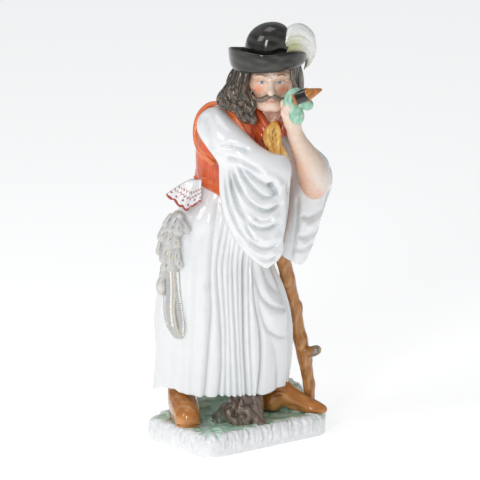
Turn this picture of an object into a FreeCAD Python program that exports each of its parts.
"""A glazed porcelain figurine of a herdsman leaning on a stick, as the separately moulded pieces that
are luted together before firing.

Frame: millimetres, +Z up, origin at the middle of the plinth's flat underside, +X along the plinth's
long side. The figure has a frame of its own, turned about +Z on the plinth by figure_turn: its x runs
to the right of somebody who faces the figure, its y away from them, and its z is the plinth's. Every
place in the tables below, apart from the plinth's own, is in the figure's frame. Left and right in the
names of pieces are the herdsman's own.
"""

import FreeCAD, Part
import math
import os

from FreeCAD import Placement, Rotation, Vector

doc = FreeCAD.newDocument("figurine")
UP = Vector(0, 0, 1)

# Single sizes, in millimetres and degrees.
SIZES = {
    "figure_turn": -37.6,
    "wall": 3.0,
    "luting_gap": 0.05,
    "plinth_long": 112.0,
    "plinth_deep": 78.0,
    "plinth_high": 14.0,
    "plinth_corner": 14.0,
    "plinth_edge": 3.0,
    "plinth_wall": 4.0,
    "vent_radius": 3.0,
    "vent_x": 22.0,
    "mound_inset": 1.0,
    "skirt_floor_low": 42.0,
    "skirt_floor_thick": 3.0,
    "waist_high": 182.0,
    "hat_base_high": 273.5,
    "hat_x": 21.5,
    "hat_y": -12.0,
    "hat_lean": -5.0,
    "crown_radius": 15.5,
    "crown_high": 29.0,
    "crown_wall": 2.5,
    "crown_fullness": 0.75,
    "brim_radius": 25.5,
    "brim_rise": 10.0,
    "brim_thick": 2.4,
    "pipe_radius": 4.3,
    "pipe_long": 15.0,
    "pipe_bore": 2.2,
    "pipe_bore_deep": 9.0,
    "pipe_rim_radius": 5.0,
    "pipe_rim_long": 1.6,
    "pipe_lid_radius": 5.0,
    "pipe_lid_long": 9.5,
    "pipe_lid_tip": 1.2,
    "pipe_x": 34.5,
    "pipe_y": -36.0,
    "pipe_z": 248.0,
    "collar_radius": 13.5,
    "collar_top": 12.0,
    "collar_high": 9.0,
    "tuft_high": 4.5,
    "tuft_radius": 1.3,
}

# Solids stacked through level ellipses: x, y, z, half width, half depth, turn about Z.
STACKS = {
    "skirt": {
        "hem": (-10, 1, 36, 49, 31, 12),
        "shin": (-8, 0, 60, 49.5, 31, 8),
        "knee": (-8, 0, 85, 49.5, 31, 5),
        "thigh": (-11, 0, 108, 44.5, 30, 5),
        "seat": (-14, 0, 132, 37.5, 28, 8),
        "hip": (-10, 1, 160, 34, 26, 10),
        "gather": (-5, 2, 175, 27, 21, 12),
        "waist": (-3, 3, 182, 25, 19, 15),
    },
    "torso": {
        "waist": (-3, 3, 182, 25, 19, 15),
        "ribs": (-1, 1, 198, 27.5, 20, 15),
        "chest": (4, -3, 214, 30, 21, 15),
        "armpit": (7, -7, 226, 30, 19, 14),
        "shoulder": (9, -9, 235, 25, 14.5, 12),
        "top": (11, -10, 240, 15, 9, 12),
    },
    "tree_stump": {
        "foot": (10, -5.5, 14, 15, 7.8, 0),
        "middle": (11, -4.5, 27, 11.5, 6.8, 0),
        "top": (12, -3, 42, 10.5, 6.5, 0),
    },
    "right_sleeve_drape": {
        "top": (12, -33, 202, 21, 8, 0),
        "arm": (13, -36, 188, 24, 9.5, 0),
        "bag": (13, -38, 166, 24, 10, 0),
        "fold": (15, -39, 150, 19.5, 8.5, 0),
        "toe": (19, -39, 140, 12, 6, 0),
        "tip": (20, -39, 134, 5, 3, 0),
    },
    "left_sleeve": {
        "top": (53, 4, 207, 9, 8, 0),
        "arm": (53.5, 1, 192, 13, 11.5, 0),
        "bag": (51, -2, 172, 13.5, 11.5, 0),
        "fold": (47, -4, 150, 12, 10, 0),
        "toe": (44, -6, 134, 9, 7, 0),
        "tip": (43.5, -6, 127, 6, 3.5, 0),
    },
    "kerchief": {
        "tuck": (-27, -18, 189, 4, 3, 0),
        "middle": (-32, -18, 181, 9, 6, 0),
        "border": (-36, -18, 173, 12, 7, 0),
        "hem": (-35, -19, 167, 8, 5, 0),
    },
    "whip_thong": {
        "top": (-45, -18, 128, 6, 6, 0),
        "middle": (-45.5, -21, 110, 6.5, 6, 0),
        "low": (-44, -23, 96, 6, 5.5, 0),
        "loop": (-40.5, -26, 81, 4, 4, 0),
    },
    "leather_tassels": {
        "top": (-40, -17, 166, 8, 6, 0),
        "flap": (-41, -19, 154, 9.5, 8, 0),
        "neck": (-45, -18, 146, 7, 6.5, 0),
        "lobes": (-45.5, -18, 135, 8, 7, 0),
        "end": (-45, -18, 129, 5, 4.5, 0),
    },
    "waistcoat_band": {
        "low": (-4, 2, 175, 29.5, 23.5, 13),
        "middle": (-3, 3, 181, 27.3, 21.3, 15),
        "top": (-3, 3, 186, 27.5, 21.3, 15),
    },
    "hair_back": {
        "nape": (21, 2, 234, 13, 8, 180),
        "curls": (22, 3, 247, 18, 10, 180),
        "crown": (23, 2, 262, 15, 10, 180),
        "under_hat": (23, 0, 273, 12, 9, 180),
    },
}

# Solids carried along a path by round sections: x, y, z, radius.
LIMBS = {
    "right_boot": [
        (-34.5, -37, 16, 4),
        (-35, -31, 17, 8),
        (-36, -21, 19, 9.5),
        (-37.5, -10, 21, 9.5),
        (-39, 0, 22, 10),
        (-39, 0, 32, 8.6),
        (-39, 0, 42, 8.6),
    ],
    "left_boot": [
        (59, 4.5, 16, 3),
        (53, 6, 17, 5),
        (44, 8.5, 18.5, 7.2),
        (33, 11.5, 20.5, 9),
        (24, 13, 22, 9.8),
        (23, 13, 32, 8.6),
        (23, 13, 42, 8.6),
    ],
    "neck": [(20, -7, 226, 10), (21.5, -9, 238, 9), (23, -11, 252, 9)],
    "right_sleeve_arm": [
        (-17, -8, 229, 9),
        (-14, -14, 226, 12.5),
        (-6, -28, 214, 13),
        (-1, -34, 207, 12),
        (8, -36, 204, 11),
        (20, -35, 201, 9.5),
        (30, -33, 198, 8),
    ],
    "left_shoulder": [(33, -6, 224, 10), (43, -1, 217, 10), (51, 5, 207, 9)],
    "left_forearm": [
        (54, -12, 177, 6),
        (54, -13, 182, 10),
        (53, -15, 192, 11),
        (48.5, -19.5, 206, 8.8),
        (42, -24, 221, 5.8),
        (37, -28, 232, 4.6),
    ],
    "left_hand": [(37, -28, 232, 4.6), (34.5, -30.5, 239, 5.6), (33, -32, 246, 5), (33, -32.5, 250, 2.5)],
    "moustache": [
        (10.5, -27, 254, 0.6),
        (14, -30, 250.5, 1.4),
        (19, -33, 250.5, 2.3),
        (23.5, -34, 251.8, 1.8),
        (28, -33, 250.5, 2.3),
        (32, -30.5, 250.3, 1.4),
        (35, -28, 252.5, 0.6),
    ],
    "hair_right": [
        (11, -9, 275, 5),
        (6, -11, 263, 6.5),
        (-1, -13, 251, 9.5),
        (-2, -17, 241, 10),
        (5, -22, 235, 8.5),
        (11, -25, 229, 6),
        (13, -26, 225, 3.5),
    ],
    "hair_left": [
        (36, -6, 275, 5),
        (40, -5, 264, 6.5),
        (41, -3, 252, 7),
        (43, -1, 243, 7),
        (42, -1, 235, 4),
    ],
    "plume": [
        (38.4, -2.2, 279, 2.4),
        (40, -1.5, 287, 5),
        (43, 0, 293, 6.5),
        (48, 3, 291, 6.5),
        (50, 4.2, 284, 6.2),
        (50, 4.2, 276, 5),
        (48.5, 3.5, 269, 2.5),
    ],
    "pouch_strap": [
        (32.5, -35, 241, 1.6),
        (32, -37.5, 247.5, 2.2),
        (35, -37, 254, 2.4),
        (40, -35.5, 257.5, 2.2),
        (45, -33, 258.5, 1.6),
    ],
    "walking_stick": [
        (51.8, 16, 14, 3.2),
        (51, 15.5, 30, 3.7),
        (48.3, 14.5, 50, 4.6),
        (43.5, 13.5, 72, 4.8),
        (37.8, 9.5, 103, 4.8),
        (32, 2, 131, 5),
        (28, -8, 156, 5.2),
        (26, -19, 179, 5.4),
        (26, -25, 190, 6),
    ],
    "stick_stub": [(49, 13.5, 57, 3), (53, 10.5, 58.5, 3), (56, 8, 59.5, 3)],
}

# Ellipsoids: x, y, z of the middle, then the half sizes along x, y and z.
ROUNDS = {
    "cranium": (23.5, -12, 268, 15.5, 17.5, 16.5),
    "jaw": (23.5, -16.5, 257.5, 13.5, 13.5, 15),
    "nose": (23.5, -31, 257, 2.2, 3.6, 4.2),
    "right_fist": (29, -30, 194, 9.5, 7.5, 7),
    "scarf_knot": (27, -28, 217, 4, 4, 4),
    "scarf_loop": (24, -27, 225, 5.5, 4, 6.5),
    "scarf_end": (31, -26.5, 212.5, 4.5, 3, 4.5),
    "pouch_bag": (40.5, -33, 238.5, 5.2, 4.2, 7),
    "pouch_lobe": (47.5, -31.5, 244.5, 4.6, 3.8, 4),
    "powder_flask": (-55.3, -18.5, 114, 3.5, 4.2, 6),
    "mound": (40, 40, 8, 50, 28.8, 20),
}

# Tufts of grass along the front of the plinth, in the plinth's frame: x and y of each.
TUFTS = [
    (-42, -26), (-30, -31), (-15, -30), (1, -32), (16, -30), (30, -32), (8, -22), (-24, -20), (-48, -20),
]


def size(alias):
    return sheet.get(alias)


def make_sheet():
    """A sheet with one row for every size and every field of the tables, each with an alias."""
    table = doc.addObject("Spreadsheet::Sheet", "Sizes")
    values = dict(SIZES)
    for piece, sections in STACKS.items():
        for level, row in sections.items():
            fields = zip(("x", "y", "z", "wide", "deep", "turn"), row)
            values.update({f"{piece}_{level}_{field}": value for field, value in fields})
    for piece, sections in LIMBS.items():
        for n, row in enumerate(sections, 1):
            fields = zip(("x", "y", "z", "radius"), row)
            values.update({f"{piece}_{n}_{field}": value for field, value in fields})
    for piece, row in ROUNDS.items():
        fields = zip(("x", "y", "z", "wide", "deep", "high"), row)
        values.update({f"{piece}_{field}": value for field, value in fields})
    for row, (alias, value) in enumerate(values.items(), 1):
        table.set(f"A{row}", alias)
        table.set(f"B{row}", str(value))
        table.setAlias(f"B{row}", alias)
    doc.recompute()
    return table


def on_figure(x, y, z, rotation=Rotation()):
    """A place in the figure's frame, as a Placement in the plinth's."""
    turn = Placement(Vector(0, 0, 0), Rotation(UP, size("figure_turn")))
    return turn.multiply(Placement(Vector(x, y, z), rotation))


def bind(thing, **cells):
    """Binds a document object's sizes to expressions over the sheet's cells."""
    for name, cell in cells.items():
        thing.setExpression(name, cell)
    return thing


def stack(piece, shell=0):
    """A loft through the piece's level ellipses, each smaller all round by shell."""
    sections = []
    for level in STACKS[piece]:
        cell = f"Sizes.{piece}_{level}"
        ring = doc.addObject("Part::Ellipse", f"{piece}_{level}")
        less = f" - {shell} * Sizes.wall" if shell else ""
        bind(ring, MajorRadius=f"{cell}_wide{less}", MinorRadius=f"{cell}_deep{less}")
        x, y, z, turn = (size(f"{piece}_{level}_{field}") for field in ("x", "y", "z", "turn"))
        ring.Placement = on_figure(x, y, z, Rotation(UP, turn))
        sections.append(ring)
    return loft(piece, sections)


def loft(name, sections):
    solid = doc.addObject("Part::Loft", name)
    solid.Sections = sections
    solid.Solid = True
    return solid


def limb(piece):
    """A loft through round sections that stand square to the piece's path."""
    count = len(LIMBS[piece])
    centres = [Vector(*(size(f"{piece}_{n}_{field}") for field in "xyz")) for n in range(1, count + 1)]
    side = side_of(centres)
    sections = []
    for n, centre in enumerate(centres):
        along = centres[min(n + 1, count - 1)] - centres[max(n - 1, 0)]
        ring = bind(
            doc.addObject("Part::Circle", f"{piece}_{n + 1}"), Radius=f"Sizes.{piece}_{n + 1}_radius"
        )
        ring.Placement = on_figure(*centre, Rotation(side, Vector(), along, "ZXY"))
        sections.append(ring)
    return loft(piece, sections)


def side_of(centres):
    """The axis that the path runs along least, so that the sections' seams line up on it."""
    run = centres[-1] - centres[0]
    return min((Vector(1, 0, 0), Vector(0, 1, 0), UP), key=lambda axis: abs(axis.dot(run)))


def ball(piece):
    cell = f"Sizes.{piece}"
    thing = bind(
        doc.addObject("Part::Ellipsoid", piece),
        Radius1=f"{cell}_high",
        Radius2=f"{cell}_wide",
        Radius3=f"{cell}_deep",
    )
    thing.Placement = on_figure(*(size(f"{piece}_{field}") for field in "xyz"))
    return thing


def cut(base, *tools):
    for tool in tools:
        piece = doc.addObject("Part::Cut", f"{base.Name}_cut")
        piece.Base = base
        piece.Tool = tool
        base = piece
    return base


def fuse(*things):
    """One solid out of several, welded in turn."""
    whole = things[0]
    for thing in things[1:]:
        joined = doc.addObject("Part::Fuse", f"{whole.Name}_fuse")
        joined.Base = whole
        joined.Tool = thing
        whole = joined
    return whole


def common(base, tool):
    piece = doc.addObject("Part::Common", f"{base.Name}_common")
    piece.Base = base
    piece.Tool = tool
    return piece


def body(name):
    return doc.addObject("PartDesign::Body", name)


def plane(owner, role):
    return next(f for f in owner.Origin.OriginFeatures if f.Role == role)


def sketch(owner, name, role):
    flat = owner.newObject("Sketcher::SketchObject", name)
    flat.AttachmentSupport = [(plane(owner, role), "")]
    flat.MapMode = "FlatFace"
    return flat


def profile(flat, points):
    """A closed outline of straight runs, fixed at its points."""
    for n, (x, y) in enumerate(points):
        flat.addGeometry(Part.LineSegment(Vector(x, y, 0), Vector(*points[(n + 1) % len(points)], 0)))
    return flat


def plinth_block():
    """The plinth's rounded slab, as a padded sketch with rounded corners and a softened top edge."""
    block = body("plinth_block")
    outline = sketch(block, "plinth_outline", "XY_Plane")
    half_x, half_y = size("plinth_long") / 2, size("plinth_deep") / 2
    profile(outline, [(-half_x, -half_y), (half_x, -half_y), (half_x, half_y), (-half_x, half_y)])
    pad = bind(block.newObject("PartDesign::Pad", "plinth_pad"), Length="Sizes.plinth_high")
    pad.Profile = outline
    doc.recompute()
    upright = [f"Edge{n}" for n, edge in enumerate(pad.Shape.Edges, 1) if is_upright(edge)]
    corners = block.newObject("PartDesign::Fillet", "plinth_corners")
    corners.Base = (pad, upright)
    bind(corners, Radius="Sizes.plinth_corner")
    doc.recompute()
    top = [f"Edge{n}" for n, edge in enumerate(corners.Shape.Edges, 1) if is_on_top(edge)]
    rounding = block.newObject("PartDesign::Fillet", "plinth_edge_round")
    rounding.Base = (corners, top[:1])
    bind(rounding, Radius="Sizes.plinth_edge")
    block.Tip = rounding
    doc.recompute()
    return block


def is_upright(edge):
    box = edge.BoundBox
    return box.ZLength > 1 and box.XLength + box.YLength < 1e-6


def is_on_top(edge):
    return edge.BoundBox.ZMin > size("plinth_high") - 1e-6


def box(name, z, long, deep, high, place=Placement()):
    """A block centred on the Z axis that starts at height z, in the frame that place gives."""
    thing = bind(doc.addObject("Part::Box", name), Length=long, Width=deep, Height=high)
    doc.recompute()
    corner = Vector(-thing.Length.Value / 2, -thing.Width.Value / 2, z)
    thing.Placement = place.multiply(Placement(corner, Rotation()))
    return thing


def cylinder(name, radius, high, place):
    thing = bind(doc.addObject("Part::Cylinder", name), Radius=radius, Height=high)
    thing.Placement = place
    return thing


def cone(name, radius, tip, high, place):
    thing = bind(doc.addObject("Part::Cone", name), Radius1=radius, Radius2=tip, Height=high)
    thing.Placement = place
    return thing


def make_plinth():
    """The hollow plinth with its firing vent, and tufts of grass along its front."""
    wall = "Sizes.plinth_wall"
    cavity = box(
        "plinth_cavity", size("plinth_wall"),
        f"Sizes.plinth_long - 2 * {wall} - Sizes.plinth_corner",
        f"Sizes.plinth_deep - 2 * {wall}",
        f"Sizes.plinth_high - 2 * {wall}",
    )
    vent_place = Placement(Vector(size("vent_x"), 0, -1), Rotation())
    vent = cylinder("vent", "Sizes.vent_radius", "Sizes.plinth_wall + 2", vent_place)
    tufts = []
    for n, (x, y) in enumerate(TUFTS, 1):
        place = Placement(Vector(x, y, size("plinth_high")), Rotation())
        tip = "Sizes.tuft_radius / 4"
        tufts.append(cone(f"tuft_{n}", "Sizes.tuft_radius", tip, "Sizes.tuft_high", place))
    group = doc.addObject("Part::Compound", "grass_tufts")
    group.Links = tufts
    return {"plinth": cut(plinth_block(), cavity, vent), "grass_tufts": group}


def make_legs(under, stick):
    """Boots that stand flat on the plinth, the stump that props the skirt, and the mound behind them."""
    boots = {}
    for side in ("right", "left"):
        boots[f"{side}_boot"] = cut(limb(f"{side}_boot"), under)
    inset = "2 * (Sizes.mound_inset + Sizes.plinth_edge)"
    outline = box(
        "mound_outline", size("plinth_high"),
        f"Sizes.plinth_long - {inset}", f"Sizes.plinth_deep - {inset}", "Sizes.mound_high",
    )
    mound = cut(common(ball("mound"), outline), stick, boots["left_boot"])
    return {**boots, "tree_stump": stack("tree_stump"), "mound": mound}


def make_trunk():
    """The hollow skirt, the slab that closes it near its hem, the waistcoat's body and its bottom band."""
    skirt, torso, core = stack("skirt"), stack("torso"), stack("skirt", shell=1)
    slab = box("floor_slab", size("skirt_floor_low"), "300", "300", "Sizes.skirt_floor_thick")
    made = {
        "skirt": cut(skirt, core),
        "skirt_floor": common(core, slab),
        "torso": cut(torso, stack("torso", shell=1)),
        "waistcoat_band": cut(stack("waistcoat_band"), skirt, torso),
    }
    return made, skirt, torso


def revolved(name, points, place):
    """A turned piece: a closed outline of radius and height, swept round the Z axis."""
    piece = body(name)
    half = profile(sketch(piece, f"{name}_half", "XZ_Plane"), points)
    turn = piece.newObject("PartDesign::Revolution", f"{name}_turn")
    turn.Profile = half
    turn.ReferenceAxis = (half, ["V_Axis"])
    turn.Angle = 360
    piece.Placement = place
    return piece


def arc_points(radius_x, radius_z, start, end, lift=0, fullness=1):
    """Points of an elliptical arc, with angles in degrees from the outward direction.

    A power under 1 makes it fuller than an ellipse.
    """
    steps = 10
    angles = [math.radians(start + (end - start) * n / steps) for n in range(steps + 1)]
    return [
        (radius_x * max(math.cos(a), 0) ** fullness, lift + radius_z * math.sin(a)) for a in angles
    ]


def hat_place(drop=0):
    """The hat's own frame: its base plane, less drop, and its lean towards the herdsman's right."""
    lean = Rotation(Vector(0, 1, 0), size("hat_lean"))
    base = on_figure(size("hat_x"), size("hat_y"), size("hat_base_high"), lean)
    return base.multiply(Placement(Vector(0, 0, -drop), Rotation()))


def make_hat():
    """A domed crown, open below, and a brim that is rolled up all round; both end level underneath."""
    radius, high, wall = size("crown_radius"), size("crown_high"), size("crown_wall")
    thick, fullness = size("brim_thick"), size("crown_fullness")
    outside = arc_points(radius, high, 0, 90, fullness=fullness)
    inside = arc_points(radius - wall, high - wall, 90, 0, fullness=fullness)
    dome = [(radius, -thick), *outside, *inside, (radius - wall, -thick)]
    crown = revolved("hat_crown", dome, hat_place())
    edge, rise = size("brim_radius"), size("brim_rise")
    bend = (edge - radius) * 0.75
    under = arc_points(bend, rise, -90, 0, lift=rise - thick)
    over = arc_points(bend - thick, rise - thick, 0, -90, lift=rise - thick)
    outline = [(edge - bend + x, z) for x, z in under + over]
    gap = size("luting_gap")
    brim = revolved("hat_brim", [(radius + gap, -thick), *outline, (radius + gap, 0)], hat_place())
    return {"hat_crown": crown, "hat_brim": brim}


def make_pipe():
    """A stub of a pipe: rim, barrel with a blind bore, and pointed lid."""
    along = Vector(14, 5, 7.5)
    start = Vector(size("pipe_x"), size("pipe_y"), size("pipe_z"))
    tilt = Rotation(UP, along)
    rim = cylinder("pipe_rim", "Sizes.pipe_rim_radius", "Sizes.pipe_rim_long", on_figure(*start, tilt))
    start += along.normalize() * size("pipe_rim_long")
    barrel = cylinder("pipe_barrel", "Sizes.pipe_radius", "Sizes.pipe_long", on_figure(*start, tilt))
    start += along * size("pipe_long")
    lid = cone(
        "pipe_lid", "Sizes.pipe_lid_radius", "Sizes.pipe_lid_tip", "Sizes.pipe_lid_long",
        on_figure(*start, tilt),
    )
    return {"pipe_rim": rim, "pipe_barrel": barrel, "pipe_lid": lid}


def make_arms(skirt, torso, stick):
    """Both sleeves as the upper arm's tube and the hanging bag, the bare forearm, and the hands."""
    forearm = limb("left_forearm")
    arm = cut(limb("right_sleeve_arm"), torso)
    shoulder = cut(limb("left_shoulder"), torso)
    fist = cut(ball("right_fist"), stick, arm)
    return {
        "right_sleeve_arm": arm,
        "right_sleeve_drape": cut(stack("right_sleeve_drape"), arm, fist, stick, skirt),
        "right_fist": fist,
        "left_shoulder": shoulder,
        "left_sleeve": cut(stack("left_sleeve"), shoulder, forearm),
        "left_forearm": forearm,
        "walking_stick": cut(stick, skirt),
        "stick_stub": cut(limb("stick_stub"), stick),
    }


def make_head(torso, hat, arm, shoulder):
    """Head and neck, trimmed level where the hat sits, the collar round them, and the hair."""
    above = box("above_hat_seat", 0, "200", "200", "100", hat_place(size("brim_thick")))
    head = cut(fuse(ball("cranium"), ball("jaw"), ball("nose"), limb("neck")), above, torso)
    neck_line = Vector(1.5, -3, 14)
    place = on_figure(20.5, -8.5, 228, Rotation(UP, neck_line))
    solid = cone("collar", "Sizes.collar_radius", "Sizes.collar_top", "Sizes.collar_high", place)
    collar = cut(solid, head, torso)
    right = cut(limb("hair_right"), above, head, torso, arm, collar)
    left = cut(limb("hair_left"), above, head, torso, shoulder, collar)
    back = cut(stack("hair_back"), above, torso, collar, head, left, right)
    plume = cut(limb("plume"), hat["hat_brim"], hat["hat_crown"])
    hair = {"hair_right": right, "hair_left": left, "hair_back": back}
    return {"head": head, "collar": collar, "plume": plume} | hair


def make_hand(made, pipe, torso):
    """The hand at the cheek with what it holds, the moustache, and the neckerchief."""
    head, collar, forearm = made["head"], made["collar"], made["left_forearm"]
    held = (pipe["pipe_rim"], pipe["pipe_barrel"])
    hand = cut(limb("left_hand"), head, *held)
    pouch = cut(fuse(ball("pouch_bag"), ball("pouch_lobe")), hand, forearm, *held)
    strap = cut(limb("pouch_strap"), head, hand, *held)
    scarf = fuse(ball("scarf_knot"), ball("scarf_loop"), ball("scarf_end"))
    return {
        "left_hand": hand,
        "tobacco_pouch": pouch,
        "pouch_strap": strap,
        "moustache": cut(limb("moustache"), head, hand, strap),
        "neckerchief": cut(scarf, torso, head, collar, forearm),
    }


def make_hip(skirt, torso, band):
    """What hangs from the waist at the right hip, each piece trimmed to the one that it lies on."""
    kerchief = cut(stack("kerchief"), skirt, torso, band)
    tassels = cut(stack("leather_tassels"), skirt, kerchief)
    thong = cut(stack("whip_thong"), skirt, tassels)
    return {
        "kerchief": kerchief,
        "leather_tassels": tassels,
        "whip_thong": thong,
        "powder_flask": ball("powder_flask"),
    }


def check(pieces):
    """Stops unless every object is computed and every sub-part is a valid shape of closed solids."""
    doc.recompute()
    failed = [thing.Name for thing in doc.Objects if {"Invalid", "Error"} & set(thing.State)]
    for name, thing in pieces.items():
        shape = thing.Shape
        if shape.isNull() or not shape.isValid() or not shape.Solids or shape.Volume <= 0:
            failed.append(name)
        else:
            print(name, len(shape.Solids), "solid", round(shape.Volume), "mm3")
    if failed:
        raise SystemExit(f"not built: {failed}")


def main():
    under = box("under", size("plinth_high") - 60, "300", "300", "60")
    stick = cut(limb("walking_stick"), under)
    pieces = make_plinth()
    pieces.update(make_legs(under, stick))
    trunk, skirt, torso = make_trunk()
    pieces.update(trunk)
    pieces.update(make_arms(skirt, torso, stick))
    hat, pipe = make_hat(), make_pipe()
    pieces.update({**hat, **pipe})
    pieces.update(make_head(torso, hat, pieces["right_sleeve_arm"], pieces["left_shoulder"]))
    pieces.update(make_hand(pieces, pipe, torso))
    pieces.update(make_hip(skirt, torso, pieces["waistcoat_band"]))
    for name, thing in pieces.items():
        thing.Label = name
    check(pieces)
    os.makedirs("parts", exist_ok=True)
    for name, thing in pieces.items():
        thing.Shape.exportStep(f"parts/{name}.step")


sheet = make_sheet()
main()
